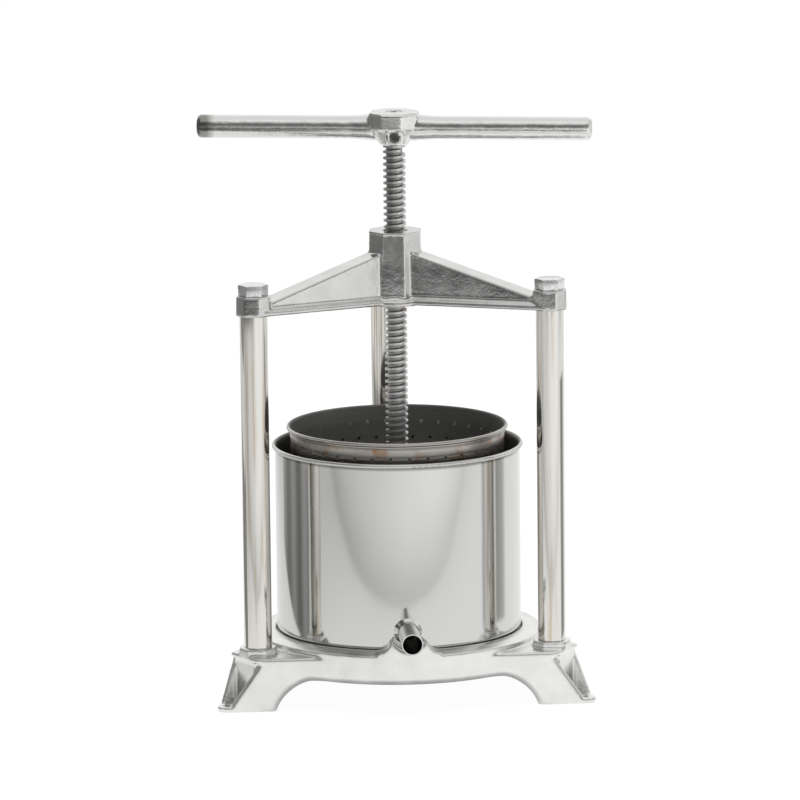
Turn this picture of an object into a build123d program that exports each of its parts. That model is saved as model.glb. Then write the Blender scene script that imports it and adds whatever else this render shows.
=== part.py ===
from build123d import *
from math import atan2, cos, degrees, hypot, radians, sqrt, tan
import os

# Three-column screw press for fruit: a cast base and crosshead, chromed columns, a pot with a
# spout, a perforated basket, and a pressing plate that a screw with a T-handle drives down.
# Millimetres, +Z up, the origin on the floor under the screw, the spout towards -Y.

# Columns and the hex bolts that hold them
column_angles = {"left": 210.0, "right": 330.0, "rear": 90.0}
column_gap = 37.0
column_d = 22.0
column_length = 266.0
top_bolt_d = 14.0
top_bolt_flats = 21.0
top_bolt_head_h = 8.8
foot_bolt_d = 12.0
foot_bolt_flats = 18.0
foot_bolt_head_h = 7.5
bolt_bevel = 1.2
bolt_grip = 20.0
bolt_hole_room = 0.5
tapped_hole_room = 4.0

# Base casting
deck_z = 42.9
deck_t = 4.0
deck_overhang = 14.0
collar_flats = 29.6
collar_h = 5.5
toe_reach = 37.5
toe_round = 9.0
toe_t = 4.2
toe_hole_d = 7.0
toe_hole_reach = 26.0
skirt_wall = 4.5
skirt_blend = 24.0
skirt_edge_round = 2.5
arch_h = 26.9
arch_reach = 104.0
wing_setback = 4.5
wing_rake = 31.0
panel_t = 3.0
panel_setback = 1.0
rim_w = 15.4
rim_flat = 7.0
rim_drop = 2.6
tray_depth = 5.0
tray_floor_rise = 1.5
saddle_room = 5.9
saddle_tip_w = 1.4
saddle_blend = 11.0
saddle_drop = 6.5

# Crosshead casting; every octagon on the two castings has a flat that faces this way
octagon_turn = 37.0
boss_flats = 27.0
boss_h = 16.0
cast_bevel = 1.2
hub_flats = 42.5
hub_h = 58.5
hub_drop = 3.0
arm_w = 20.0
arm_foot_w = 28.0
arm_foot_t = 3.2
arm_foot_h = 6.5
arm_hub_drop = 17.5
arm_boss_drop = 5.0
arm_round = 1.4
hub_foot_d = 51.0
hub_bore_room = 0.8

# Screw, its threaded bush and the thread between them
screw_d = 18.0
pitch = 5.0
thread_depth = 2.5
thread_root_w = 3.4
thread_crest_w = 1.8
thread_room = 0.3
thread_over = 0.4
bush_d = 28.0
bush_length = 44.0
bush_flange_d = 34.0
bush_flange_t = 4.0
screw_collar_h = 4.0
screw_neck_h = 2.0
spigot_d = 11.0
crown_d = 14.0
crown_recess = 0.6
crown_room = 0.05
centre_hole_d = 5.5
centre_hole_depth = 3.0

# T-handle, turned as the photograph shows it
handle_turn = -11.0
handle_length = 315.0
handle_gap = 68.5
bar_d = 18.5
bar_end_round = 3.5
bar_flare = 1.2
bar_flare_length = 16.0
grip_hub_flats = 39.0
grip_hub_top_h = 13.0
grip_hub_foot_h = 13.5
grip_hub_neck_d = 23.0
grip_hub_bevel = 2.0
set_boss_d = 13.0
set_boss_reach = 16.8
set_screw_d = 7.5
set_screw_length = 7.0
set_screw_drop = 6.2
set_screw_turn = 7.5
set_socket_flats = 4.0
set_socket_depth = 4.0
set_screw_room = 0.3

# Pot and spout
pot_d = 196.0
pot_wall = 1.0
pot_height = 154.0
pot_round = 7.0
pot_bead_d = 3.4
pot_seat_room = 0.6
spout_d = 17.0
spout_wall = 0.9
spout_length = 50.0
spout_height = 19.5
spout_weld = 2.0

# Basket
basket_gap = 12.5
basket_wall_t = 1.0
basket_height = 167.5
basket_bead_d = 3.2
basket_flare_h = 11.0
basket_flare_out = 0.8
basket_hole_d = 2.8
basket_holes_round = 36
basket_row_step = 13.0
basket_first_row = 13.5
basket_floor_lift = 10.0
basket_floor_t = 1.5
basket_floor_flange = 4.0
basket_drain_d = 11.0
basket_drains = 8
drill_length = 12.0
floor_ring_step = 14.0
floor_ring_holes = 6

# Pressing plate and what holds it on the screw
plate_room = 3.0
plate_gap = 88.0
plate_t = 10.0
plate_edge_round = 2.0
plate_hub_d = 46.0
plate_hub_h = 16.0
plate_hub_slope = 5.0
plate_recess_d = 27.0
plate_recess_depth = 9.0
plate_play = 0.3
running_room = 0.3
washer_d = 23.0
washer_t = 2.5
end_bolt_d = 8.0
end_bolt_flats = 13.0
end_bolt_head_h = 5.3
end_bolt_grip = 16.0

# Heights and radii that follow from the sizes above; the columns and the basket follow the pot
column_circle_r = pot_d / 2 + column_gap
basket_d = pot_d - 2 * basket_gap
deck_under = deck_z - deck_t
collar_top = deck_z + collar_h
column_top = collar_top + column_length
boss_top = column_top + boss_h
hub_foot = column_top - hub_drop
hub_top = hub_foot + hub_h
tray_floor = deck_z + tray_floor_rise
tray_r = pot_d / 2 + pot_seat_room
apron_r = tray_r + rim_w
rim_top = tray_floor + tray_depth
rim_edge = rim_top - rim_drop
toe_tip = column_circle_r + toe_reach
skirt_reach = (toe_tip + toe_round) / 2
deck_end = column_circle_r + deck_overhang
panel_face = deck_end - panel_setback
toe_hole_r = column_circle_r + toe_hole_reach
pot_floor = tray_floor + pot_wall
pot_top = tray_floor + pot_height
spout_z = tray_floor + spout_height
basket_top = pot_floor + basket_height
basket_floor = pot_floor + basket_floor_lift
basket_bore_r = basket_d / 2 - basket_wall_t
plate_under = basket_floor + basket_floor_t + plate_gap
plate_top = plate_under + plate_t
plate_hub_top = plate_top + plate_hub_h
plate_recess_top = plate_under + plate_recess_depth
shoulder = plate_hub_top + washer_t + plate_play
collar_end = shoulder + screw_collar_h
handle_foot = hub_top + handle_gap
bar_z = handle_foot + grip_hub_foot_h
handle_top = bar_z + grip_hub_top_h
core_r = screw_d / 2 - thread_depth
thread_slope = (thread_root_w - thread_crest_w) / 2 / thread_depth
leg_angles = column_angles.values()
side_angles = [angle + 180 for angle in leg_angles]
on_base = (Align.CENTER, Align.CENTER, Align.MIN)
hex_half_turn = 180 / 6
octagon_half_turn = 180 / 8
same_place = 0.01


def rod(radius, low, high):
    """Upright cylinder on the Z axis between two heights."""
    return Pos(0, 0, low) * Cylinder(radius, high - low, align=on_base)


def prism(sketch, low, high):
    """Flat outline drawn on the floor, raised between two heights."""
    return Pos(0, 0, low) * extrude(sketch, amount=high - low)


def outline(points):
    return make_face(Polyline(*points, close=True))


def turned(points):
    """Solid turned about the Z axis from (radius, height) points."""
    return revolve(Plane.XZ * outline(points), axis=Axis.Z)


def slab(points, width):
    """Plate standing on the XZ plane from (x, z) points, as thick as width across Y."""
    return extrude(Plane.XZ * outline(points), amount=width / 2, both=True)


def octagon(flats, turn=octagon_turn):
    """Octagon with one flat square to the direction it is turned to."""
    return RegularPolygon(flats / 2, 8, major_radius=False, rotation=turn + octagon_half_turn)


def at_columns(piece):
    """Three copies of a piece, one on the axis of each column."""
    centres = [Vector(column_circle_r, 0).rotate(Axis.Z, angle) for angle in leg_angles]
    return [Pos(centre.X, centre.Y, 0) * piece for centre in centres]


def around(piece, angles):
    return [Rot(0, 0, angle) * piece for angle in angles]


def along_y(radius, near, far, height):
    """Level cylinder along Y at a height, between two Y values."""
    return Pos(0, near, height) * Rot(-90, 0, 0) * Cylinder(radius, far - near, align=on_base)


def hex_bolt(diameter, flats, head_h, length):
    """Hex bolt, its shank upwards from the floor level and its head below it."""
    head = prism(RegularPolygon(flats / 2, 6, major_radius=False), -head_h, 0)
    corner_r = flats / 2 / cos(radians(hex_half_turn))
    cone = turned([(0, -head_h), (corner_r - bolt_bevel, -head_h), (corner_r, bolt_bevel / 2 - head_h),
                   (corner_r, 0), (0, 0)])
    return (head & cone) + rod(diameter / 2, 0, length)


def base_outline():
    """Rounded triangle of the skirts with the round tray bulging through its sides."""
    corner = Vector(2 * skirt_reach, 0)
    triangle = outline([corner.rotate(Axis.Z, angle) for angle in leg_angles])
    triangle = fillet(triangle.vertices(), toe_round)
    whole = triangle + Circle(apron_r)
    joins = [v for v in whole.vertices() if abs(hypot(v.X, v.Y) - apron_r) < same_place]
    return fillet(joins, skirt_blend)


def make_base():
    plan = base_outline()
    top_block = prism(plan, 0, deck_z)
    top_block = fillet(top_block.edges().group_by(Axis.Z)[-1], skirt_edge_round)
    base = top_block - prism(offset(plan, -skirt_wall), 0, deck_under)
    # Quarter-round arches under the three sides
    far = 2 * toe_tip
    arch = SlotOverall(2 * arch_reach, 2 * arch_h)
    opening = extrude(Plane.YZ * arch, amount=toe_tip)
    opening -= rod(skirt_reach / 2, -arch_h, deck_z)
    base -= around(opening, side_angles)
    # Column collars; wings beside each foot slope down to the toe, below the lip of the deck
    wing_top = deck_end - wing_setback
    wing_foot = wing_top + (deck_under - toe_t) * tan(radians(wing_rake))
    wing_cut = slab([(wing_top, deck_under), (far, deck_under), (far, toe_t), (wing_foot, toe_t)], far)
    lip_cut = slab([(deck_end, deck_under), (far, deck_under), (far, far), (deck_end, far)], far)
    base += at_columns(prism(octagon(collar_flats), deck_under, collar_top))
    base -= around(wing_cut + lip_cut, leg_angles)
    # Toe plates and the upright panel behind each recess
    panel_back = panel_face - panel_t
    toe_zone = slab([(panel_back, 0), (far, 0), (far, toe_t), (panel_back, toe_t)], far)
    panel_zone = slab([(panel_back, 0), (panel_face, 0), (panel_face, deck_under),
                       (panel_back, deck_under)], far)
    base += [prism(plan, 0, toe_t) & zone for zone in around(toe_zone, leg_angles)]
    hollow = prism(offset(plan, -skirt_wall), 0, deck_under)
    base += [hollow & zone for zone in around(panel_zone, leg_angles)]
    # Tray floor, its rim, the saddle round the spout, and the holes for bolts
    base += rod(tray_r, deck_under, tray_floor)
    base += turned([(tray_r - pot_seat_room, deck_under), (tray_r - pot_seat_room, tray_floor),
                    (tray_r, tray_floor), (tray_r, rim_top), (tray_r + rim_flat, rim_top),
                    (apron_r, rim_edge), (apron_r, deck_under)])
    base += make_saddle()
    base -= at_columns(rod(foot_bolt_d / 2 + bolt_hole_room, 0, collar_top))
    base -= around(Pos(toe_hole_r, 0, 0) * rod(toe_hole_d / 2, 0, toe_t), leg_angles)
    return base


def make_saddle():
    """Two horns of the rim that stand beside the spout, hollow on their outer flanks."""
    notch_r = spout_d / 2 + saddle_room
    tip_z = spout_z - saddle_drop
    tip_x = sqrt(notch_r ** 2 - saddle_drop ** 2) + saddle_tip_w
    foot_x = tip_x + saddle_blend
    block = Pos(0, (deck_z + tip_z) / 2) * Rectangle(2 * foot_x, tip_z - deck_z)
    for side in (-1, 1):
        block -= Pos(side * foot_x, rim_top + saddle_blend) * Circle(saddle_blend)
    block -= Pos(0, spout_z) * Circle(notch_r)
    horns = extrude(Plane.XZ * block, amount=apron_r)
    return (horns & rod(apron_r, deck_z, tip_z)) - rod(tray_r, 0, pot_top)


def make_column():
    bar = rod(column_d / 2, collar_top, column_top)
    depth = bolt_grip + tapped_hole_room
    bar -= rod(foot_bolt_d / 2, collar_top, collar_top + depth)
    return bar - rod(top_bolt_d / 2, column_top - depth, column_top)


def make_foot_bolts():
    """Bolts from under the deck, each with a flat of its head towards the panel behind it."""
    bolt = hex_bolt(foot_bolt_d, foot_bolt_flats, foot_bolt_head_h, deck_t + collar_h + bolt_grip)
    return around(Pos(column_circle_r, 0, deck_under) * Rot(0, 0, hex_half_turn) * bolt, leg_angles)


def make_top_bolts():
    bolt = hex_bolt(top_bolt_d, top_bolt_flats, top_bolt_head_h, boss_h + bolt_grip)
    return at_columns(Pos(0, 0, boss_top) * Rot(180, 0, 0) * bolt)


def make_arm():
    """One arm along +X: a deep web under a sloping top face, with a spread foot that rises to the boss."""
    tip = column_circle_r
    hub_side = hub_flats / 2
    boss_side = tip - boss_flats / 2
    high = hub_top - arm_hub_drop
    slope = (high - boss_top + arm_boss_drop) / (boss_side - hub_side)
    web = slab([(0, high + slope * hub_side), (tip, high - slope * (tip - hub_side)),
                (tip, column_top + arm_foot_t), (0, hub_foot + arm_foot_t)], arm_w)
    web = fillet(web.faces().sort_by(Axis.Z)[-1].edges().filter_by(Axis.Y, reverse=True), arm_round)
    half = arm_foot_w / 2
    section = outline([(-half, 0), (half, 0), (half, arm_foot_t), (arm_w / 2, arm_foot_h),
                       (-arm_w / 2, arm_foot_h), (-half, arm_foot_t)])
    section = fillet(section.vertices().group_by(Axis.Y)[0], arm_round)
    foot = extrude(Plane.YZ * section, amount=tip)
    foot = Pos(0, 0, hub_foot) * Rot(0, -degrees(atan2(hub_drop, boss_side)), 0) * foot
    return web + foot


def make_crosshead():
    arms = around(make_arm(), leg_angles)
    hub = prism(octagon(hub_flats), hub_foot, hub_top)
    hub = chamfer(hub.edges().group_by(Axis.Z)[-1], cast_bevel)
    hub += turned([(0, hub_foot), (hub_foot_d / 2, hub_foot), (hub_foot_d / 2, hub_foot + arm_foot_t),
                   (hub_flats / 2, hub_foot + arm_foot_h), (0, hub_foot + arm_foot_h)])
    boss = prism(octagon(boss_flats), column_top, boss_top)
    boss = chamfer(boss.edges().group_by(Axis.Z)[-1], cast_bevel)
    # The arms end inside their bosses, level with the tops of the columns
    head = hub + arms + at_columns(boss)
    head -= at_columns(rod(boss_flats / 2, hub_foot, column_top))
    head -= at_columns(rod(top_bolt_d / 2 + bolt_hole_room, hub_foot, hub_top))
    head -= rod(screw_d / 2 + hub_bore_room, hub_foot, hub_top)
    head -= rod(bush_d / 2, hub_foot, hub_foot + bush_length)
    return head - rod(bush_flange_d / 2, hub_foot, hub_foot + bush_flange_t)


def helix_ridge(root_r, tip_r, root_w, tip_w, low, high):
    """Right-hand trapezoidal ridge about the Z axis, in step with one that starts at height zero on +X."""
    corners = [(root_r, -root_w / 2), (tip_r, -tip_w / 2), (tip_r, tip_w / 2), (root_r, root_w / 2)]
    ridge = sweep(Plane.XZ * outline(corners), path=Helix(pitch, high - low, root_r), is_frenet=True)
    return Pos(0, 0, low) * Rot(0, 0, 360 * low / pitch) * ridge


def make_screw():
    """Bar with a thread between a plain collar at the plate and a short neck at the handle."""
    spigot_foot = plate_recess_top - plate_play
    crown_top = handle_top - crown_recess
    neck_foot = handle_foot - screw_neck_h
    screw = rod(core_r, shoulder, handle_foot) + rod(screw_d / 2, shoulder, collar_end)
    screw += rod(screw_d / 2, neck_foot, handle_foot) + rod(crown_d / 2, handle_foot, crown_top)
    screw += rod(spigot_d / 2, spigot_foot, shoulder)
    screw -= rod(end_bolt_d / 2, spigot_foot, spigot_foot + end_bolt_grip)
    screw -= rod(centre_hole_d / 2, crown_top - centre_hole_depth, crown_top)
    sunk_w = thread_root_w + 2 * thread_slope * thread_over
    runout = sunk_w / 2 + thread_over
    ridge = helix_ridge(core_r - thread_over, screw_d / 2, sunk_w, thread_crest_w,
                        collar_end + runout, neck_foot - runout)
    return screw + ridge


def make_bush():
    """Threaded bush; its groove clears the screw's ridge by the same room on every side."""
    top = hub_foot + bush_length
    bore_r = core_r + thread_room
    groove_r = screw_d / 2 + thread_room
    bush = rod(bush_d / 2, hub_foot, top) + rod(bush_flange_d / 2, hub_foot, hub_foot + bush_flange_t)
    flank_room = 2 * thread_room * hypot(1, thread_slope)
    groove_w = thread_crest_w + flank_room - 2 * thread_slope * thread_room
    mouth_w = groove_w + 2 * thread_slope * (groove_r - bore_r + thread_over)
    groove = helix_ridge(bore_r - thread_over, groove_r, mouth_w, groove_w, hub_foot - pitch, top + pitch)
    tap = rod(bore_r, hub_foot - 2 * pitch, top + 2 * pitch) + groove
    return bush - tap


def make_handle():
    half = handle_length / 2
    bar_r = bar_d / 2
    bar = Rot(0, 90, 0) * Cylinder(bar_r, handle_length)
    bar = fillet(bar.edges().filter_by(GeomType.CIRCLE), bar_end_round)
    flare_low = grip_hub_flats / 2 - grip_hub_bevel
    flare = turned([(0, 0), (bar_r + bar_flare, 0), (bar_r + bar_flare, flare_low),
                    (bar_r, flare_low + bar_flare_length), (0, flare_low + bar_flare_length)])
    bar += [Rot(0, side * 90, 0) * flare for side in (-1, 1)]
    crown = prism(octagon(grip_hub_flats, 0), 0, grip_hub_top_h)
    crown = chamfer(crown.edges().group_by(Axis.Z)[-1], grip_hub_bevel)
    neck_r = grip_hub_neck_d / 2
    foot = Pos(0, 0, -grip_hub_foot_h) * Cone(neck_r, grip_hub_flats / 2, grip_hub_foot_h, align=on_base)
    boss = along_y(set_boss_d / 2, -set_boss_reach, 0, -set_screw_drop)
    handle = bar + crown + foot + Rot(0, 0, set_screw_turn) * boss
    handle -= Rot(0, 0, set_screw_turn) * along_y(set_screw_d / 2, -grip_hub_flats, 0, -set_screw_drop)
    handle = Pos(0, 0, bar_z) * Rot(0, 0, handle_turn) * handle
    return handle - rod(crown_d / 2 + crown_room, handle_foot, handle_top)


def make_set_screw():
    tip = -crown_d / 2 - set_screw_room
    grub = along_y(set_screw_d / 2, tip - set_screw_length, tip, 0)
    socket = prism(RegularPolygon(set_socket_flats / 2, 6, major_radius=False), 0, set_socket_depth)
    grub -= Pos(0, tip - set_screw_length, 0) * Rot(-90, 0, 0) * socket
    return Rot(0, 0, handle_turn + set_screw_turn) * Pos(0, 0, bar_z - set_screw_drop) * grub


def make_pot():
    pot_r = pot_d / 2
    bore_r = pot_r - pot_wall
    pot = rod(pot_r, tray_floor, pot_top - pot_bead_d / 2)
    pot = fillet(pot.edges().group_by(Axis.Z)[0], pot_round)
    hollow = rod(bore_r, pot_floor, pot_top)
    pot -= fillet(hollow.edges().group_by(Axis.Z)[0], pot_round - pot_wall)
    bead = Pos(0, 0, pot_top - pot_bead_d / 2) * Torus(bore_r + pot_bead_d / 2, pot_bead_d / 2)
    return pot + bead - along_y(spout_d / 2 - spout_wall, -pot_d, 0, spout_z)


def make_spout():
    """Pipe with a cone of weld metal where it meets the pot."""
    pot_r = pot_d / 2
    spout_r = spout_d / 2
    weld_foot_r = spout_r + 2 * spout_weld
    weld = Cone(spout_r, weld_foot_r, 2 * spout_weld, align=on_base)
    near = -(pot_r + spout_length)
    pipe = along_y(spout_r, near, 0, spout_z)
    pipe += Pos(0, -pot_r - spout_weld, spout_z) * Rot(-90, 0, 0) * weld
    return pipe - along_y(spout_r - spout_wall, near, 0, spout_z) - rod(pot_r, tray_floor, pot_top)


def make_basket_wall():
    outer_r = basket_d / 2
    bead_r = basket_bead_d / 2
    neck = basket_top - bead_r - basket_flare_h
    lip = basket_top - bead_r
    profile = outline([(basket_bore_r, pot_floor), (outer_r, pot_floor), (outer_r, neck),
                       (outer_r + basket_flare_out, lip), (basket_bore_r + basket_flare_out, lip),
                       (basket_bore_r, neck)])
    profile += Pos(basket_bore_r + basket_flare_out + bead_r, lip) * Circle(bead_r)
    section = Plane.XZ * profile
    # One half is drilled, then repeated round the axis
    step = 360 / basket_holes_round
    drill = Pos(basket_bore_r, 0, 0) * Rot(0, 90, 0) * Cylinder(basket_hole_d / 2, drill_length)
    room = basket_height - basket_first_row - basket_floor_lift - basket_row_step / 2
    holes = []
    for row in range(int(room / basket_row_step) + 1):
        height = basket_top - basket_first_row - row * basket_row_step
        shift = step / 4 + step / 2 * (row % 2)
        turns = [step * k + shift for k in range(basket_holes_round // 2)]
        holes += [Pos(0, 0, height) * Rot(0, 0, turn) * drill for turn in turns]
    half = revolve(section, axis=Axis.Z, revolution_arc=180) - holes
    wall = half + Rot(0, 0, 180) * half
    # Half-round drains in the lower edge, under the basket's floor
    drain = Pos(basket_bore_r, 0, pot_floor) * Rot(0, 90, 0) * Cylinder(basket_drain_d / 2, drill_length)
    return wall - around(drain, [360 / basket_drains * (k + 0.5) for k in range(basket_drains)])


def make_basket_floor():
    floor = rod(basket_bore_r, basket_floor - basket_floor_flange, basket_floor + basket_floor_t)
    floor -= rod(basket_bore_r - basket_wall_t, basket_floor - basket_floor_flange, basket_floor)
    hole = rod(basket_hole_d / 2, basket_floor, basket_floor + basket_floor_t)
    rings = int((basket_bore_r - floor_ring_step / 2) / floor_ring_step)
    holes = [hole]
    for ring in range(1, rings + 1):
        count = floor_ring_holes * ring
        holes += [Rot(0, 0, 360 / count * k) * Pos(ring * floor_ring_step, 0, 0) * hole for k in range(count)]
    return floor - holes


def make_plate():
    plate_r = basket_bore_r - plate_room
    plate = rod(plate_r, plate_under, plate_top)
    plate = fillet(plate.edges().filter_by(GeomType.CIRCLE), plate_edge_round)
    hub_r = plate_hub_d / 2
    plate += turned([(0, plate_top - plate_t / 2), (hub_r + plate_hub_slope, plate_top - plate_t / 2),
                     (hub_r + plate_hub_slope, plate_top), (hub_r - plate_hub_slope, plate_hub_top),
                     (0, plate_hub_top)])
    plate -= rod(plate_recess_d / 2, plate_under, plate_recess_top)
    return plate - rod(spigot_d / 2 + running_room, plate_under, plate_hub_top)


def make_washer(low, bore_r):
    return rod(washer_d / 2, low, low + washer_t) - rod(bore_r, low, low + washer_t)


def make_end_bolt():
    spigot_foot = plate_recess_top - plate_play
    return Pos(0, 0, spigot_foot - washer_t) * hex_bolt(end_bolt_d, end_bolt_flats, end_bolt_head_h,
                                                       washer_t + end_bolt_grip)


nodes = {
    "base_casting": make_base(),
    "column_top_bolts": make_top_bolts(),
    "column_foot_bolts": make_foot_bolts(),
    "crosshead_casting": make_crosshead(),
    "screw_nut_bush": make_bush(),
    "press_screw": make_screw(),
    "handle_casting": make_handle(),
    "handle_set_screw": make_set_screw(),
    "juice_pot": make_pot(),
    "spout_pipe": make_spout(),
    "basket_wall": make_basket_wall(),
    "basket_floor": make_basket_floor(),
    "press_plate": make_plate(),
    "plate_thrust_washer": make_washer(plate_hub_top, spigot_d / 2 + running_room),
    "plate_end_washer": make_washer(plate_recess_top - plate_play - washer_t, end_bolt_d / 2),
    "plate_end_bolt": make_end_bolt(),
}
for name, column in zip(column_angles, at_columns(make_column())):
    nodes["column_" + name] = column

os.makedirs("parts", exist_ok=True)
for name, shape in nodes.items():
    if isinstance(shape, list):
        shape = Compound(shape)
    export_step(shape, "parts/" + name + ".step")
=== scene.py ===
from math import atan2, cos, degrees, inf, pi, radians, sin

import bpy
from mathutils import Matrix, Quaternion, Vector


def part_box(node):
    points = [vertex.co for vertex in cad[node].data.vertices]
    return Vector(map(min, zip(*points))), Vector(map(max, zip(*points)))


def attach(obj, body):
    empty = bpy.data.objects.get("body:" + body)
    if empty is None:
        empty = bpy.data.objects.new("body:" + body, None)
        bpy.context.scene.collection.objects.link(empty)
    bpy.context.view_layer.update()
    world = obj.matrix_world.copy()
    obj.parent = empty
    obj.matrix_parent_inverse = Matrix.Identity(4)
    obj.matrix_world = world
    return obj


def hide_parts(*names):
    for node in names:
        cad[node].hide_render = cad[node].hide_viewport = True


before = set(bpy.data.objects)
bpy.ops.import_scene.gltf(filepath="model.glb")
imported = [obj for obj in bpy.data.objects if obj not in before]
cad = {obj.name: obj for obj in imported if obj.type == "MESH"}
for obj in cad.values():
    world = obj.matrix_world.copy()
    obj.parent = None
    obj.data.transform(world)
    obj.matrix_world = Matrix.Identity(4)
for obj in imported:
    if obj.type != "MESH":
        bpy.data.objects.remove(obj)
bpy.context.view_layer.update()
scene = bpy.context.scene
MM = 0.001
COLUMNS = ("column_left", "column_right", "column_rear")

# The creases under the beads of the rims, and how far below the tops they lie
POT_CREASE_DROP = 3.6 * MM
BASKET_CREASE_DROP = 4.1 * MM
POT_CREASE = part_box("juice_pot")[1].z - POT_CREASE_DROP
BASKET_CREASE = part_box("basket_wall")[1].z - BASKET_CREASE_DROP

# The level axis of the spout
spout_low, spout_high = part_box("spout_pipe")
SPOUT_AXIS_HEIGHT = (spout_low.z + spout_high.z) / 2

# The screw: the radii of its thread, across which painted shade darkens the root, and the height above which
# its plain end has none
THREAD_DEPTH = 2.5 * MM
UNSHADED_BELOW_HANDLE = 2.4 * MM
THREAD_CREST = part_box("press_screw")[1].x
THREAD_ROOT = THREAD_CREST - THREAD_DEPTH
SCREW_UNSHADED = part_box("handle_casting")[0].z - UNSHADED_BELOW_HANDLE

# Painted shade: the left end of the handle's bar darkens from the first place to the second
handle_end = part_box("handle_casting")[0].x
PAINTED_SHADE_START = handle_end + 14.8 * MM
PAINTED_SHADE_END = handle_end + 7.8 * MM

# The lean of the crosshead's sides: a face counts as a side up to a slope, and the bore stays straight
DRAFT = 1.2 * MM
SIDE_SLOPE = 0.5
BORE_WALL = 20 * MM

# The heads of the top bolts: their underside lies between two radii, and is drawn in to a share of its size
HEAD_HEIGHT = 8.8 * MM
HEAD_INNER = 8 * MM
HEAD_OUTER = 15 * MM
HEAD_EDGE = 0.6 * MM
SEAT_SHARE = 0.965
SEAT_BAND = 0.1 * MM
BOLT_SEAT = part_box("column_top_bolts")[1].z - HEAD_HEIGHT

# The arches in the base's skirt, as on the solid
ARCH_HEIGHT = 26.9 * MM
ARCH_REACH = 104 * MM
SKIRT_WALL = 4.5 * MM

# What is done to the arches: the bevel, how far up the drop fades out, and the drop at crown and corners
ARCH_BEVEL = 2.6 * MM
ARCH_FILL = 8 * MM
ARCH_CROWN_DROP = 3.2 * MM
ARCH_CORNER_DROP = 2 * MM

# The skirt's outer face is looked for in upright strips over a band above each arch
FACE_STRIP = 2 * MM
FACE_BAND = 10 * MM

# The share of the wall behind its inner face that still moves with an arch
WALL_MARGIN = 0.2


def linear(hex_code):
    """An sRGB hex colour as linear red, green, blue and alpha."""
    channels = [int(hex_code[i:i + 2], 16) / 255 for i in (1, 3, 5)]
    return [c / 12.92 if c <= 0.04045 else ((c + 0.055) / 1.055) ** 2.4 for c in channels] + [1.0]


def grey(level):
    """A neutral linear colour, for lights and screens."""
    return [level, level, level, 1.0]


def add(tree, kind, values=None, stops=None, **settings):
    """Adds one node to a tree: settings go on the node, values on its inputs, and a socket is linked."""
    node = tree.nodes.new(kind)
    for name, setting in settings.items():
        setattr(node, name, setting)
    for name, value in (values or {}).items():
        if isinstance(value, bpy.types.NodeSocket):
            tree.links.new(value, node.inputs[name])
        else:
            node.inputs[name].default_value = value
    if stops:
        elements = node.color_ramp.elements
        while len(elements) < len(stops):
            elements.new(1.0)
        for element, (place, colour) in zip(elements, stops):
            element.position = place
            element.color = colour
    return node


def shades(tree, value, stops):
    """A grey that follows a value through stops of place and level."""
    first, last = stops[0][0], stops[-1][0]
    part = add(tree, "ShaderNodeMapRange", {"Value": value, "From Min": first, "From Max": last})
    spots = [((spot - first) / (last - first), grey(level)) for spot, level in stops]
    return add(tree, "ShaderNodeValToRGB", {"Fac": part.outputs[0]}, stops=spots).outputs[0]


def new_material(name):
    """A new material and its node tree, still empty."""
    material = bpy.data.materials.new(name)
    material.use_nodes = True
    material.node_tree.nodes.clear()
    return material, material.node_tree


def cast_aluminium(name, pale, deep, dull, shiny, peel_depth):
    """Sand-cast aluminium: a white metal with a fine pebbled grain and soft cloudy gloss, in the tone it is
    given.
    """
    material, tree = new_material(name)
    place = add(tree, "ShaderNodeTexCoord").outputs["Object"]
    peel = add(tree, "ShaderNodeTexNoise", {"Vector": place, "Scale": 1 / (5 * MM), "Detail": 3.0})
    grain = add(tree, "ShaderNodeTexNoise", {"Vector": place, "Scale": 1 / (1.6 * MM), "Detail": 2.0})
    cloud = add(tree, "ShaderNodeTexNoise", {"Vector": place, "Scale": 1 / (16 * MM), "Detail": 4.0})
    gloss = add(tree, "ShaderNodeMapRange", {"Value": cloud.outputs[0], "From Min": 0.3, "From Max": 0.7,
                                             "To Min": shiny, "To Max": dull})
    tone = add(tree, "ShaderNodeValToRGB", {"Fac": cloud.outputs[0]},
               stops=[(0.3, linear(deep)), (0.7, linear(pale))])
    waves = add(tree, "ShaderNodeBump", {"Height": peel.outputs[0], "Strength": 1.0, "Distance": peel_depth})
    bump = add(tree, "ShaderNodeBump", {"Height": grain.outputs[0], "Normal": waves.outputs[0],
                                        "Strength": 1.0, "Distance": 0.05 * MM})
    shader = add(tree, "ShaderNodeBsdfPrincipled", {"Base Color": tone.outputs[0], "Metallic": 1.0,
                                                    "Roughness": gloss.outputs[0], "Normal": bump.outputs[0]})
    add(tree, "ShaderNodeOutputMaterial", {"Surface": shader.outputs[0]})
    return material


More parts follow.
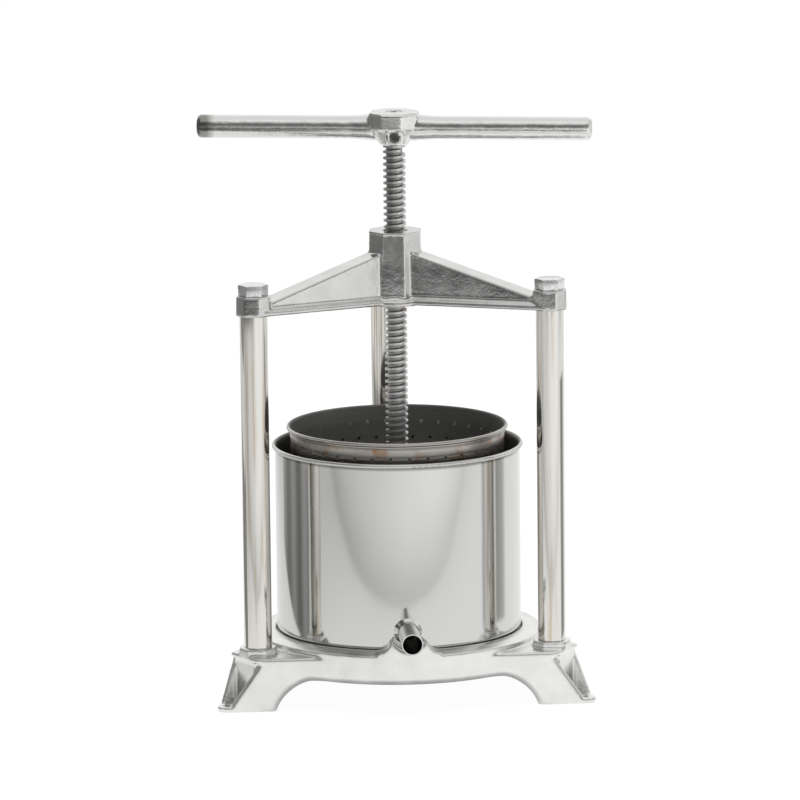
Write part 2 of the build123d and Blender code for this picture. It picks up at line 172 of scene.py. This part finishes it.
def buffed_aluminium():
    """A casting buffed by hand: bright, its long reflections broken by shallow dents, with painted shade at
    one end.
    """
    material, tree = new_material("buffed_cast_aluminium")
    place = add(tree, "ShaderNodeTexCoord").outputs["Object"]
    dents = add(tree, "ShaderNodeTexNoise", {"Vector": place, "Scale": 1 / (9 * MM), "Detail": 5.0})
    gloss = add(tree, "ShaderNodeMapRange", {"Value": dents.outputs[0], "From Min": 0.3, "From Max": 0.7,
                                             "To Min": 0.16, "To Max": 0.28})
    bump = add(tree, "ShaderNodeBump", {"Height": dents.outputs[0], "Strength": 1.0, "Distance": 0.5 * MM})
    # Painted shade: the bar's colour darkens towards its left end
    across = add(tree, "ShaderNodeSeparateXYZ", {"Vector": place}).outputs["X"]
    painted_shade = add(tree, "ShaderNodeMapRange", {"Value": across, "From Min": PAINTED_SHADE_START, "From Max": PAINTED_SHADE_END})
    tone = add(tree, "ShaderNodeMixRGB", {"Fac": painted_shade.outputs[0], "Color1": linear("#e8e8e6"),
                                          "Color2": linear("#999994")})
    shader = add(tree, "ShaderNodeBsdfPrincipled", {"Base Color": tone.outputs[0], "Metallic": 1.0,
                                                    "Roughness": gloss.outputs[0], "Normal": bump.outputs[0]})
    add(tree, "ShaderNodeOutputMaterial", {"Surface": shader.outputs[0]})
    return material


def stainless_sheet(name, outside, inside, polish, waviness, crease, bead_matt, stain, spread, centre):
    """Stainless sheet rolled round an axis: fine lines round its polished outside, dull and darkened by
    painted shade inside and in holes.

    A dark line of painted shade lies in the crease under the bead of its rim. The axis runs
    through the centre, and spread is 1 for each direction that leads away from it.
    """
    material, tree = new_material(name)
    spot = add(tree, "ShaderNodeTexCoord")
    place = spot.outputs["Object"]
    offset = add(tree, "ShaderNodeVectorMath", {0: place, 1: centre}, operation="SUBTRACT").outputs[0]
    outward = add(tree, "ShaderNodeVectorMath", {0: offset, 1: spread}, operation="MULTIPLY").outputs[0]
    facing = add(tree, "ShaderNodeVectorMath", {0: spot.outputs["Normal"], 1: outward},
                 operation="DOT_PRODUCT").outputs["Value"]
    height = add(tree, "ShaderNodeSeparateXYZ", {"Vector": place}).outputs["Z"]
    wall = add(tree, "ShaderNodeMath", {0: height, 1: crease}, operation="LESS_THAN").outputs[0]
    # On the wall, the sides of holes count as inside too; on the bead, only what faces the axis does
    limit = add(tree, "ShaderNodeMapRange", {"Value": wall, "To Min": -0.5 * MM, "To Max": 5 * MM}).outputs[0]
    within = add(tree, "ShaderNodeMath", {0: facing, 1: limit}, operation="LESS_THAN").outputs[0]
    patch = add(tree, "ShaderNodeTexNoise", {"Vector": place, "Scale": 1 / (14 * MM), "Detail": 4.0})
    spots = add(tree, "ShaderNodeMapRange", {"Value": patch.outputs[0], "From Min": 0.5, "From Max": 0.7,
                                             "To Max": stain})
    marked = add(tree, "ShaderNodeMath", {0: spots.outputs[0], 1: wall}, operation="MULTIPLY")
    skin = add(tree, "ShaderNodeMixRGB", {"Fac": marked.outputs[0], "Color1": linear(outside),
                                          "Color2": linear("#a3713f")})
    # Painted shade: a dark line just below the crease under the rim's bead
    near = add(tree, "ShaderNodeMapRange", {"Value": height, "From Min": crease - 2.6 * MM,
                                            "From Max": crease - 0.4 * MM, "To Max": 0.75})
    crease_shade = add(tree, "ShaderNodeMath", {0: near.outputs[0], 1: wall}, operation="MULTIPLY")
    painted_shade = add(tree, "ShaderNodeMixRGB", {"Fac": crease_shade.outputs[0], "Color1": skin.outputs[0],
                                          "Color2": linear("#5e5d58")})
    # Inside and on the sides of holes the colour is darker as painted shade; the duller gloss there is set
    # below
    tone = add(tree, "ShaderNodeMixRGB", {"Fac": within, "Color1": painted_shade.outputs[0], "Color2": linear(inside)})
    drawn = add(tree, "ShaderNodeMapping", {"Vector": place, "Scale": (0.04, 0.04, 1.0)}).outputs[0]
    lines = add(tree, "ShaderNodeTexNoise", {"Vector": drawn, "Scale": 1 / (1.2 * MM), "Detail": 2.0})
    shine = add(tree, "ShaderNodeMapRange", {"Value": lines.outputs[0], "From Min": 0.3, "From Max": 0.7,
                                             "To Min": 0.8 * polish, "To Max": 1.2 * polish})
    dulled = add(tree, "ShaderNodeMath", {0: within, 1: 0.3, 2: shine.outputs[0]}, operation="MULTIPLY_ADD")
    bead = add(tree, "ShaderNodeMath", {0: height, 1: crease}, operation="GREATER_THAN")
    gloss = add(tree, "ShaderNodeMath", {0: bead.outputs[0], 1: bead_matt, 2: dulled.outputs[0]},
                operation="MULTIPLY_ADD")
    waves = add(tree, "ShaderNodeTexNoise", {"Vector": place, "Scale": 1 / (80 * MM), "Detail": 1.0})
    bump = add(tree, "ShaderNodeBump", {"Height": waves.outputs[0], "Strength": 1.0, "Distance": waviness})
    shader = add(tree, "ShaderNodeBsdfPrincipled", {"Base Color": tone.outputs[0], "Metallic": 1.0,
                                                    "Roughness": gloss.outputs[0], "Normal": bump.outputs[0]})
    add(tree, "ShaderNodeOutputMaterial", {"Surface": shader.outputs[0]})
    return material


def screw_steel():
    """Turned steel under a thin film of grease, with painted shade in the root of its thread, lighter crests,
    and a breath of rust.
    """
    material, tree = new_material("greased_turned_steel")
    place = add(tree, "ShaderNodeTexCoord").outputs["Object"]
    flat = add(tree, "ShaderNodeVectorMath", {0: place, 1: (1.0, 1.0, 0.0)}, operation="MULTIPLY").outputs[0]
    radius = add(tree, "ShaderNodeVectorMath", {0: flat}, operation="LENGTH").outputs["Value"]
    height = add(tree, "ShaderNodeSeparateXYZ", {"Vector": place}).outputs["Z"]
    # Painted shade and light: darker in the root of the thread, lighter on its crests and on the plain end
    crest = add(tree, "ShaderNodeMapRange", {"Value": radius, "From Min": THREAD_ROOT,
                                             "From Max": THREAD_CREST})
    above = add(tree, "ShaderNodeMath", {0: height, 1: SCREW_UNSHADED}, operation="GREATER_THAN")
    painted_crest_light = add(tree, "ShaderNodeMath", {0: crest.outputs[0], 1: above.outputs[0]}, operation="MAXIMUM")
    smear = add(tree, "ShaderNodeTexNoise", {"Vector": place, "Scale": 1 / (6 * MM), "Detail": 3.0})
    film = add(tree, "ShaderNodeMapRange", {"Value": smear.outputs[0], "From Min": 0.35, "From Max": 0.7,
                                            "To Min": 0.32, "To Max": 0.48})
    thread_shading = add(tree, "ShaderNodeValToRGB", {"Fac": painted_crest_light.outputs[0]},
               stops=[(0.1, linear("#a3a2a0")), (0.9, linear("#d4d4d3"))])
    rust = add(tree, "ShaderNodeMapRange", {"Value": smear.outputs[0], "From Min": 0.58, "From Max": 0.72,
                                            "To Max": 0.12})
    tone = add(tree, "ShaderNodeMixRGB", {"Fac": rust.outputs[0], "Color1": thread_shading.outputs[0],
                                          "Color2": linear("#8a5a48")})
    shader = add(tree, "ShaderNodeBsdfPrincipled", {"Base Color": tone.outputs[0], "Metallic": 1.0,
                                                    "Roughness": film.outputs[0]})
    add(tree, "ShaderNodeOutputMaterial", {"Surface": shader.outputs[0]})
    return material


def hard_chrome():
    """Chromed bar: a mirror with faint long streaks from grinding, here and there tinted brown."""
    material, tree = new_material("hard_chromed_steel")
    place = add(tree, "ShaderNodeTexCoord").outputs["Object"]
    drawn = add(tree, "ShaderNodeMapping", {"Vector": place, "Scale": (1.0, 1.0, 0.03)}).outputs[0]
    streak = add(tree, "ShaderNodeTexNoise", {"Vector": drawn, "Scale": 1 / (3 * MM), "Detail": 3.0})
    tone = add(tree, "ShaderNodeValToRGB", {"Fac": streak.outputs[0]},
               stops=[(0.33, linear("#d1c4b3")), (0.44, linear("#dfddd7")), (0.8, linear("#e4e3df"))])
    gloss = add(tree, "ShaderNodeMapRange", {"Value": streak.outputs[0], "From Min": 0.3, "From Max": 0.7,
                                             "To Min": 0.14, "To Max": 0.06})
    shader = add(tree, "ShaderNodeBsdfPrincipled", {"Base Color": tone.outputs[0], "Metallic": 1.0,
                                                    "Roughness": gloss.outputs[0]})
    add(tree, "ShaderNodeOutputMaterial", {"Surface": shader.outputs[0]})
    return material


def coated_steel(name, pale, deep, satin, matt):
    """Steel under a thin coat, zinc or black oxide: a soft gloss, clouded where the coat is thicker."""
    material, tree = new_material(name)
    place = add(tree, "ShaderNodeTexCoord").outputs["Object"]
    cloud = add(tree, "ShaderNodeTexNoise", {"Vector": place, "Scale": 1 / (3 * MM), "Detail": 4.0})
    tone = add(tree, "ShaderNodeValToRGB", {"Fac": cloud.outputs[0]},
               stops=[(0.35, linear(deep)), (0.65, linear(pale))])
    gloss = add(tree, "ShaderNodeMapRange", {"Value": cloud.outputs[0], "From Min": 0.3, "From Max": 0.7,
                                             "To Min": matt, "To Max": satin})
    bump = add(tree, "ShaderNodeBump", {"Height": cloud.outputs[0], "Strength": 1.0, "Distance": 0.03 * MM})
    shader = add(tree, "ShaderNodeBsdfPrincipled", {"Base Color": tone.outputs[0], "Metallic": 1.0,
                                                    "Roughness": gloss.outputs[0], "Normal": bump.outputs[0]})
    add(tree, "ShaderNodeOutputMaterial", {"Surface": shader.outputs[0]})
    return material


def turned_metal(name, pale, deep, roughness, feed):
    """Metal faced on a lathe: rings round the axis, drawn coarse enough to show, and slightly uneven tone."""
    material, tree = new_material(name)
    place = add(tree, "ShaderNodeTexCoord").outputs["Object"]
    flat = add(tree, "ShaderNodeVectorMath", {0: place, 1: (1.0, 1.0, 0.0)}, operation="MULTIPLY").outputs[0]
    radius = add(tree, "ShaderNodeVectorMath", {0: flat}, operation="LENGTH").outputs["Value"]
    height = add(tree, "ShaderNodeSeparateXYZ", {"Vector": place}).outputs["Z"]
    travel = add(tree, "ShaderNodeMath", {0: radius, 1: height}, operation="ADD").outputs[0]
    phase = add(tree, "ShaderNodeMath", {0: travel, 1: 2 * pi / feed}, operation="MULTIPLY").outputs[0]
    rings = add(tree, "ShaderNodeMath", {0: phase}, operation="SINE").outputs[0]
    bump = add(tree, "ShaderNodeBump", {"Height": rings, "Strength": 1.0, "Distance": 0.01 * MM})
    cloud = add(tree, "ShaderNodeTexNoise", {"Vector": place, "Scale": 1 / (12 * MM), "Detail": 4.0})
    tone = add(tree, "ShaderNodeValToRGB", {"Fac": cloud.outputs[0]},
               stops=[(0.35, linear(deep)), (0.65, linear(pale))])
    shader = add(tree, "ShaderNodeBsdfPrincipled", {"Base Color": tone.outputs[0], "Metallic": 1.0,
                                                    "Roughness": roughness, "Normal": bump.outputs[0]})
    add(tree, "ShaderNodeOutputMaterial", {"Surface": shader.outputs[0]})
    return material


def dress(material, *names):
    """Gives solids their material."""
    for name in names:
        cad[name].data.materials.clear()
        cad[name].data.materials.append(material)


def pick(piece):
    """Selects one piece alone."""
    bpy.ops.object.select_all(action="DESELECT")
    piece.select_set(True)
    bpy.context.view_layer.objects.active = piece


def shaped(piece, kind, **settings):
    """Adds one modifier to a piece and applies it."""
    modifier = piece.modifiers.new(kind.lower(), kind)
    for name, setting in settings.items():
        setattr(modifier, name, setting)
    pick(piece)
    bpy.ops.object.modifier_apply(modifier=modifier.name)


def merged_copy(name, node):
    """A new piece in the shape of a solid, its loose triangles joined into one skin."""
    piece = bpy.data.objects.new(name, cad[node].data.copy())
    scene.collection.objects.link(piece)
    pick(piece)
    bpy.ops.object.mode_set(mode="EDIT")
    bpy.ops.mesh.select_all(action="SELECT")
    bpy.ops.mesh.remove_doubles(threshold=MM / 1000)
    bpy.ops.object.mode_set(mode="OBJECT")
    return piece


def stand_in(piece, node, body, material):
    """Gives a finished piece its material and sets it in the place of a solid."""
    piece.data.materials.clear()
    piece.data.materials.append(material)
    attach(piece, body)
    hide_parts(node)


def draw_in(piece):
    """Leans the outer sides of a casting in towards its top, as they must to leave the mould."""
    low, high = piece.bound_box[0][2], piece.bound_box[1][2]
    sides = piece.vertex_groups.new(name="sides")
    for vertex in piece.data.vertices:
        outward = Vector((vertex.co.x, vertex.co.y, 0))
        in_bore = outward.length < BORE_WALL and vertex.normal.dot(outward) < 0
        if abs(vertex.normal.z) < SIDE_SLOPE and not in_bore:
            sides.add([vertex.index], (vertex.co.z - low) / (high - low), "REPLACE")
    shaped(piece, "DISPLACE", strength=-DRAFT, mid_level=0.0, vertex_group="sides")


def bevel_arches(piece):
    """Lets the lower edge of the skirt down along its three arches, more in their corners, and bevels it."""
    ways = [Vector((sin(turn), -cos(turn), 0)) for turn in (0, 2 * pi / 3, -2 * pi / 3)]
    spots = []
    face = {}
    for vertex in piece.data.vertices:
        side = max(range(3), key=lambda index: vertex.co.dot(ways[index]))
        out = ways[side]
        along = Vector((-out.y, out.x, 0))
        reach, shift = vertex.co.dot(out), vertex.co.dot(along)
        strip = side, round(shift / FACE_STRIP)
        if ARCH_HEIGHT < vertex.co.z < ARCH_HEIGHT + FACE_BAND:
            face[strip] = max(reach, face.get(strip, 0))
        # An arch is level along its middle and round at its ends, so the ray that crosses its edge
        # starts straight below on the table, or at the centre of the nearer end
        corner = along * max(abs(shift) - ARCH_REACH + ARCH_HEIGHT, 0) * (1 if shift > 0 else -1)
        ray = corner + Vector((0, 0, vertex.co.z))
        if ray.length - ARCH_HEIGHT < ARCH_FILL:
            spots.append((vertex, out, reach, strip, corner.length, ray))
    for vertex, out, reach, strip, corner, ray in spots:
        # 1 on the outer face of the wall and 0 on its inner face
        depth = (reach - face.get(strip, inf)) / SKIRT_WALL + 1
        above = max(ray.length - ARCH_HEIGHT, 0)
        inward = max(ARCH_BEVEL - above, 0) * min(max(depth, 0), 1)
        if depth > -WALL_MARGIN and ray.length > 0:
            rise = atan2(vertex.co.z, corner)
            drop = ARCH_CROWN_DROP * sin(rise) + ARCH_CORNER_DROP * sin(2 * rise)
            vertex.co -= out * inward + ray.normalized() * drop * (1 - above / ARCH_FILL)


def soft_casting(name, node, body, material, grid, passes, share, reshape=None):
    """The shape of a casting with its corners rounded off, as a sand mould leaves them."""
    piece = merged_copy(name, node)
    shaped(piece, "REMESH", mode="VOXEL", voxel_size=grid)
    if reshape:
        reshape(piece)
    shaped(piece, "SMOOTH", factor=0.5, iterations=passes)
    shaped(piece, "DECIMATE", ratio=share)
    bpy.ops.object.shade_smooth()
    stand_in(piece, node, body, material)


def forged_bolts(name, node, body, material, seat):
    """Hex bolts with the rounded edges of a forged, plated head, drawn in a little towards its seat."""
    piece = merged_copy(name, node)
    bpy.ops.object.mode_set(mode="EDIT")
    bpy.ops.mesh.select_mode(type="VERT")
    bpy.ops.mesh.select_all(action="SELECT")
    bpy.ops.mesh.dissolve_limited(angle_limit=radians(2))
    for column in COLUMNS:
        low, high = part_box(column)
        axis = (low + high) / 2
        bpy.ops.mesh.select_all(action="DESELECT")
        bpy.ops.object.mode_set(mode="OBJECT")
        for vertex in piece.data.vertices:
            reach = (vertex.co.xy - axis.xy).length
            on_seat = abs(vertex.co.z - seat) < SEAT_BAND
            vertex.select = on_seat and HEAD_INNER < reach < HEAD_OUTER
        bpy.ops.object.mode_set(mode="EDIT")
        bpy.ops.transform.resize(value=(SEAT_SHARE, SEAT_SHARE, 1.0),
                                 center_override=(axis.x, axis.y, seat))
    bpy.ops.object.mode_set(mode="OBJECT")
    shaped(piece, "BEVEL", width=HEAD_EDGE, segments=3, limit_method="ANGLE", angle_limit=radians(20))
    bpy.ops.object.shade_smooth_by_angle(angle=radians(35))
    stand_in(piece, node, body, material)


# Castings and their bolts
# One cast aluminium in two tones: the base paler as painted light, the crosshead darker as painted shade
tumbled_painted_light = cast_aluminium("tumbled_cast_aluminium_painted_light", pale="#f5f5f3", deep="#e6e6e4", dull=0.36, shiny=0.26,
                         peel_depth=0.12 * MM)
cast_painted_shade = cast_aluminium("cast_aluminium_painted_shade", pale="#dbdbd9", deep="#cbcbc9", dull=0.22, shiny=0.15,
                         peel_depth=0.1 * MM)
zinc = coated_steel("zinc_plated_steel", pale="#eef0ef", deep="#dfe1df", satin=0.2, matt=0.3)
soft_casting("cast_base", "base_casting", "frame", tumbled_painted_light,
             grid=0.9 * MM, passes=10, share=0.46, reshape=bevel_arches)
soft_casting("cast_crosshead", "crosshead_casting", "frame", cast_painted_shade,
             grid=0.9 * MM, passes=8, share=0.8, reshape=draw_in)
soft_casting("cast_handle", "handle_casting", "screw", buffed_aluminium(),
             grid=0.8 * MM, passes=6, share=1.0)
forged_bolts("forged_top_bolts", "column_top_bolts", "frame", zinc, seat=BOLT_SEAT)

# Sheet metal, rolled round the upright axis of the press or the level axis of the spout
upright = {"spread": (1.0, 1.0, 0.0), "centre": (0.0, 0.0, 0.0)}
lengthwise = {"spread": (1.0, 0.0, 1.0), "centre": (0.0, 0.0, SPOUT_AXIS_HEIGHT)}
pot_sheet = stainless_sheet("polished_stainless_sheet", outside="#d4d4d2", inside="#a0a09d", polish=0.085,
                            waviness=0.3 * MM, crease=POT_CREASE, bead_matt=0.2, stain=0.0, **upright)
basket_sheet = stainless_sheet("satin_stainless_sheet", outside="#bcb9b3", inside="#858582", polish=0.3,
                               waviness=0.3 * MM, crease=BASKET_CREASE, bead_matt=0.0, stain=0.8, **upright)
# The tube's near-black inside is painted shade
spout_tube = stainless_sheet("polished_stainless_tube", outside="#d4d4d2", inside="#2c2c2a", polish=0.1,
                             waviness=0.1 * MM, crease=0.0, bead_matt=0.0, stain=0.0, **lengthwise)
dress(pot_sheet, "juice_pot")
dress(basket_sheet, "basket_wall", "basket_floor")
dress(spout_tube, "spout_pipe")

# Bars, screws and turned pieces
black_oxide = coated_steel("black_oxide_steel", pale="#85837d", deep="#625f5a", satin=0.25, matt=0.4)
bronze = turned_metal("turned_bronze", pale="#b08d5c", deep="#94713f", roughness=0.25, feed=0.8 * MM)
plate_metal = turned_metal("turned_aluminium", pale="#dcdcda", deep="#cfcfcc", roughness=0.25, feed=1.5 * MM)
dress(hard_chrome(), *COLUMNS)
dress(zinc, "column_foot_bolts", "plate_thrust_washer", "plate_end_washer", "plate_end_bolt")
dress(black_oxide, "handle_set_screw")
dress(screw_steel(), "press_screw")
dress(bronze, "screw_nut_bush")
dress(plate_metal, "press_plate")

# Camera at the photograph's viewing angle
azimuth = radians(-4.0)
elevation = radians(10.65)
roll = radians(-0.61)
distance = 5.5
aim = Vector((0, 0, 0.1984))
back = Vector((sin(azimuth) * cos(elevation), -cos(azimuth) * cos(elevation), sin(elevation)))
camera_data = bpy.data.cameras.new("camera")
camera_data.sensor_width = 36.0
camera_data.lens = 309.4
camera_data.shift_x = 0.0035
camera_data.shift_y = 0.0517
camera_data.clip_end = 100.0
camera = bpy.data.objects.new("camera", camera_data)
scene.collection.objects.link(camera)
camera.location = aim + back * distance
camera.rotation_mode = "QUATERNION"
camera.rotation_quaternion = (-back).to_track_quat("-Z", "Y") @ Quaternion((0, 0, 1), roll)
scene.camera = camera

# How bright the room is, at degrees from the front, positive to the right
ROOM = [(-145, 1.0), (-130, 0.12), (-60, 0.12), (0, 0.16), (44, 0.2), (66, 0.3), (80, 1.0), (92, 1.0),
        (100, 0.4), (118, 0.5), (135, 1.0)]
# The room is dark between these heights in degrees above level, and fades out at both ends
ROOM_FOOT = (4, 14)
ROOM_TOP = (34, 68)
# How bright the rest is, from the front at -1 to the back at 1
BACKDROP = [(-0.4, 1.0), (-0.1, 0.82), (1.0, 0.78)]
# Paper: its level to the camera, the share of it that glows, and its own colour
PAPER_SEEN = 1.06
PAPER_GLOW = 0.9
PAPER_COLOUR = 0.9
EVEN = [(-1.0, 1.0), (1.0, 1.0)]


def studio_world():
    """A white studio: bright behind, overhead and to the right, dark in front and at the left."""
    world = bpy.data.worlds.new("studio")
    world.use_nodes = True
    tree = world.node_tree
    tree.nodes.clear()
    way = add(tree, "ShaderNodeTexCoord").outputs["Generated"]
    axes = add(tree, "ShaderNodeSeparateXYZ", {"Vector": way})
    turned = add(tree, "ShaderNodeMapping", {"Vector": way, "Rotation": (0, 0, radians(90))}).outputs[0]
    bearing = add(tree, "ShaderNodeTexGradient", {"Vector": turned}, gradient_type="RADIAL").outputs["Fac"]
    room = add(tree, "ShaderNodeValToRGB", {"Fac": bearing},
               stops=[(angle / 360 + 0.5, grey(level)) for angle, level in ROOM])
    rise, top = [
        add(tree, "ShaderNodeMapRange", {"Value": axes.outputs["Z"], "From Min": sin(radians(start)),
                                         "From Max": sin(radians(end))}, interpolation_type="SMOOTHSTEP")
        for start, end in (ROOM_FOOT, ROOM_TOP)]
    dark = add(tree, "ShaderNodeMath", {0: rise.outputs[0], 1: top.outputs[0]}, operation="SUBTRACT")
    behind = shades(tree, axes.outputs["Y"], BACKDROP)
    whole = add(tree, "ShaderNodeMixRGB", {"Fac": dark.outputs[0], "Color1": behind,
                                           "Color2": room.outputs[0]})
    rays = add(tree, "ShaderNodeLightPath")
    seen = add(tree, "ShaderNodeMixRGB", {"Fac": rays.outputs["Is Camera Ray"], "Color1": whole.outputs[0],
                                          "Color2": grey(1.0)})
    sky = add(tree, "ShaderNodeBackground", {"Color": seen.outputs[0], "Strength": 1.0})
    add(tree, "ShaderNodeOutputWorld", {"Surface": sky.outputs[0]})
    scene.world = world


def level_sheet(name, left, right, near, far, height, turn):
    """A level rectangle, turned about its own middle."""
    bpy.ops.object.select_all(action="DESELECT")
    middle = ((left + right) / 2, (near + far) / 2, height)
    bpy.ops.mesh.primitive_plane_add(size=1.0, location=middle, rotation=(0, 0, turn))
    sheet = bpy.context.active_object
    sheet.name = name
    sheet.scale = (right - left, far - near, 1.0)
    bpy.ops.object.transform_apply(location=True, rotation=True, scale=True)
    return sheet


def paper(name, width, near, far, height, turn, along_x, along_y, along_r):
    """A level sheet of white paper: white to the camera, with painted light and shade in reflections across,
    along and outwards.
    """
    sheet = level_sheet(name, -width / 2, width / 2, near, far, height, turn)
    material, tree = new_material(name + "_white_paper")
    rays = add(tree, "ShaderNodeLightPath")
    place = add(tree, "ShaderNodeTexCoord").outputs["Object"]
    axes = add(tree, "ShaderNodeSeparateXYZ", {"Vector": place})
    outward = add(tree, "ShaderNodeVectorMath", {0: place}, operation="LENGTH").outputs["Value"]
    shade = grey(1.0)
    for value, stops in ((axes.outputs["X"], along_x), (axes.outputs["Y"], along_y), (outward, along_r)):
        tint = shades(tree, value, stops)
        shade = add(tree, "ShaderNodeMixRGB", {"Fac": 1.0, "Color1": shade, "Color2": tint},
                    blend_type="MULTIPLY").outputs[0]
    level = add(tree, "ShaderNodeMixRGB", {"Fac": rays.outputs["Is Camera Ray"], "Color1": shade,
                                           "Color2": grey(PAPER_SEEN)})
    shown = add(tree, "ShaderNodeMath", {0: rays.outputs["Is Camera Ray"], 1: rays.outputs["Is Glossy Ray"]},
                operation="MAXIMUM")
    share = add(tree, "ShaderNodeMath", {0: shown.outputs[0], 1: PAPER_GLOW}, operation="MULTIPLY")
    matt = add(tree, "ShaderNodeBsdfDiffuse", {"Color": grey(PAPER_COLOUR)})
    glow = add(tree, "ShaderNodeEmission", {"Color": level.outputs[0]})
    mixed = add(tree, "ShaderNodeMixShader", {0: share.outputs[0], 1: matt.outputs[0], 2: glow.outputs[0]})
    add(tree, "ShaderNodeOutputMaterial", {"Surface": mixed.outputs[0]})
    sheet.data.materials.append(material)


def reflected_cloth(card, across, stripes, along, levels):
    """Covers a card with cloth that glows in bands, and hides it from all but reflections."""
    material, tree = new_material(card.name + "_cloth")
    place = add(tree, "ShaderNodeTexCoord").outputs["Object"]
    axes = add(tree, "ShaderNodeSeparateXYZ", {"Vector": place})
    bands = shades(tree, axes.outputs[across], stripes)
    fade = shades(tree, axes.outputs[along], levels)
    shade = add(tree, "ShaderNodeMixRGB", {"Fac": 1.0, "Color1": bands, "Color2": fade},
                blend_type="MULTIPLY")
    glow = add(tree, "ShaderNodeEmission", {"Color": shade.outputs[0]})
    add(tree, "ShaderNodeOutputMaterial", {"Surface": glow.outputs[0]})
    card.data.materials.append(material)
    card.visible_camera = False
    card.visible_diffuse = False
    card.visible_shadow = False
    card.visible_transmission = False


def screen(name, centre, radius, low, high, start, end, across, stripes, along_z):
    """A curved cloth beside the press, seen only in reflections; start and end are angles from the front."""
    bpy.ops.object.select_all(action="DESELECT")
    middle = (centre[0], centre[1], (low + high) / 2)
    bpy.ops.mesh.primitive_cylinder_add(vertices=360, radius=radius, depth=high - low,
                                        end_fill_type="NOTHING", location=middle)
    card = bpy.context.active_object
    card.name = name
    bpy.ops.object.transform_apply(location=True, rotation=True, scale=True)
    bpy.ops.object.mode_set(mode="EDIT")
    bpy.ops.mesh.select_mode(type="FACE")
    bpy.ops.mesh.select_all(action="DESELECT")
    bpy.ops.object.mode_set(mode="OBJECT")
    for face in card.data.polygons:
        angle = degrees(atan2(face.center.x - centre[0], centre[1] - face.center.y))
        face.select = not start < angle < end
    bpy.ops.object.mode_set(mode="EDIT")
    bpy.ops.mesh.delete(type="FACE")
    bpy.ops.object.mode_set(mode="OBJECT")
    reflected_cloth(card, across, stripes, "Z", along_z)


def shelf(name, left, right, near, far, height, stripes):
    """A level strip of dark cloth in front of the press, seen only in reflections."""
    card = level_sheet(name, left, right, near, far, height, turn=0)
    reflected_cloth(card, "X", stripes, "Y", EVEN)


# Stage: each list holds places in metres and how bright the paper or cloth is there
studio_world()
paper("table", width=4.0, near=-0.49, far=3.0, height=0.0, turn=radians(-3.6),
      along_x=[(-0.9, 0.62), (-0.5, 0.78), (-0.33, 0.88), (0.1, 1.0), (0.9, 0.97)],
      along_y=[(-0.58, 0.88), (-0.42, 0.96), (-0.3, 1.0)],
      # A painted shadow under the press, seen in reflections
      along_r=[(0.09, 0.3), (0.125, 0.45), (0.15, 1.0)])
paper("ground", width=40.0, near=-20.0, far=20.0, height=-0.004, turn=0.0,
      along_x=[(-0.76, 0.78), (-0.46, 0.84), (0.0, 1.0), (0.5, 1.1)],
      along_y=[(-0.9, 0.98), (-0.7, 0.85), (-0.57, 0.7), (-0.51, 0.58)], along_r=EVEN)
screen("front_screen", centre=(0, 0), radius=0.62, low=0.222, high=0.6, start=-96, end=30, across="X",
       stripes=[(-0.62, 0.6), (-0.3, 0.7), (-0.12, 1.0), (0.0, 1.5), (0.07, 2.0), (0.14, 1.2), (0.2, 1.2),
                (0.3, 2.5)],
       along_z=[(0.222, 0.95), (0.237, 0.07), (0.29, 0.06), (0.32, 0.2), (0.37, 0.22), (0.39, 0.65),
                (0.5, 0.65), (0.56, 0.2), (0.6, 0.16)])
screen("left_screen", centre=(2.986, 1.737), radius=3.708, low=0.0, high=0.8, start=-69.8, end=-60.8,
       across="X",
       stripes=[(-0.483, 0.5), (-0.435, 0.33), (-0.40, 0.22), (-0.373, 0.25), (-0.353, 0.36),
                (-0.336, 0.36), (-0.322, 0.24), (-0.311, 0.17), (-0.30, 0.2), (-0.291, 0.34),
                (-0.283, 0.38), (-0.269, 0.26), (-0.257, 0.22)],
       along_z=[(0.0, 0.8), (0.15, 1.0), (0.17, 2.6), (0.24, 2.6), (0.26, 1.0), (0.4, 0.7), (0.8, 0.7)])
screen("right_screen", centre=(0, 0), radius=0.36, low=0.0, high=0.22, start=71, end=103, across="Y",
       stripes=[(-0.112, 0.62), (-0.098, 0.47), (-0.068, 0.4), (-0.053, 0.22), (-0.037, 0.18),
                (-0.02, 0.32), (0.015, 0.42), (0.054, 0.52), (0.076, 0.8)],
       along_z=EVEN)
shelf("handle_shelf", left=-0.27, right=-0.06, near=-0.25, far=-0.1, height=0.335,
      stripes=[(-0.27, 0.1), (-0.16, 0.12), (-0.12, 0.3), (-0.06, 0.9)])

# One soft lamp overhead, kept out of the reflections
lamp_data = bpy.data.lights.new("softbox", "AREA")
lamp_data.shape = "RECTANGLE"
lamp_data.size = 1.6
lamp_data.size_y = 1.2
lamp_data.energy = 16.0
lamp = bpy.data.objects.new("softbox", lamp_data)
scene.collection.objects.link(lamp)
lamp.location = (0.3, 0.2, 1.7)
lamp.visible_glossy = False

scene.view_settings.view_transform = "Standard"
